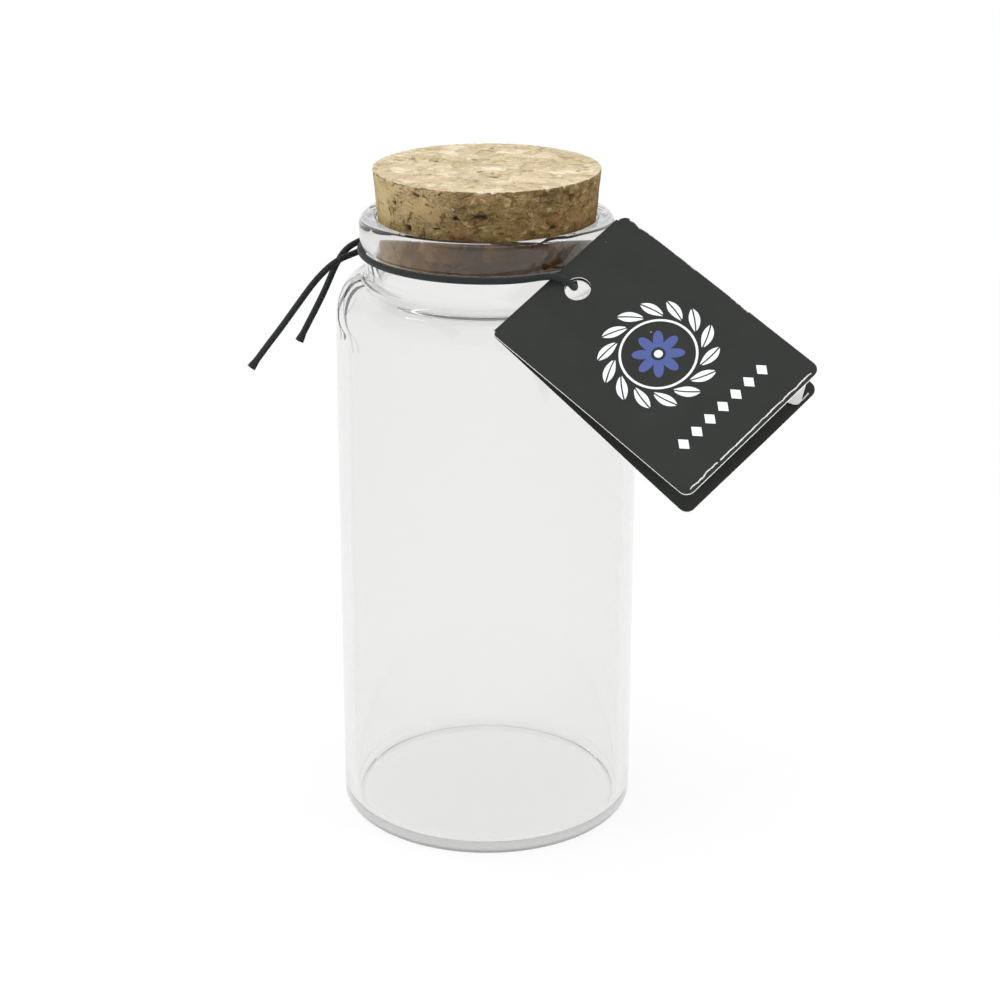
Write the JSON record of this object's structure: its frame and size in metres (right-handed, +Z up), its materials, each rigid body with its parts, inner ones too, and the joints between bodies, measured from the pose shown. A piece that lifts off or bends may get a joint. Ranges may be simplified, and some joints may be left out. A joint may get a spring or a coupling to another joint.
{
  "type": "glass jar with cork stopper",
  "caption": "Clear straight-sided glass storage jar with rounded shoulder, rolled lip and tapered agglomerated cork stopper, with a folded card tag tied round its neck on an elastic cord.",
  "frame": {"origin": "centre of the jar's base, on the surface that it stands on", "axes": "+Z up along the jar's axis; -Y towards the side with the tag; +X to the right seen from that side"},
  "size_m": [0.108, 0.0897, 0.1345],
  "materials": {
    "clear_glass": "gloss",
    "cork": "matte",
    "elastic_cord": "matte",
    "printed_card": "satin"
  },
  "bodies": {
    "jar": {"glass_jar": "clear_glass"},
    "stopper": {"cork_stopper": "cork"},
    "tie": {"neck_cord": "elastic_cord", "tag_loop": "elastic_cord", "cord_knot": "elastic_cord", "long_tail": "elastic_cord", "short_tail": "elastic_cord"},
    "tag": {"tag_back_leaf": "printed_card"},
    "tag_flap": {"tag_front_leaf": "printed_card"}
  },
  "joints": [
    {"name": "stopper_lift", "type": "slide", "parent": "jar", "child": "stopper", "axis": [0, 0, 1], "range_m": [0, 0.03]},
    {"name": "cord_turn", "type": "hinge", "parent": "jar", "child": "tie", "pos_m": [0, 0, 0.1186], "axis": [0, 0, 1], "continuous": true},
    {"name": "tag_swing", "type": "hinge", "parent": "tie", "child": "tag", "pos_m": [0.01359, -0.0228, 0.1193], "axis": [-0.7142, -0.443, -0.542], "range_deg": [0, 45], "deforming": ["tag_loop"]},
    {"name": "tag_open", "type": "hinge", "parent": "tag", "child": "tag_flap", "pos_m": [0.01359, -0.0228, 0.1193], "axis": [-0.7142, -0.443, -0.542], "range_deg": [-8.5, 65], "deforming": ["tag_loop"]}
  ]
}
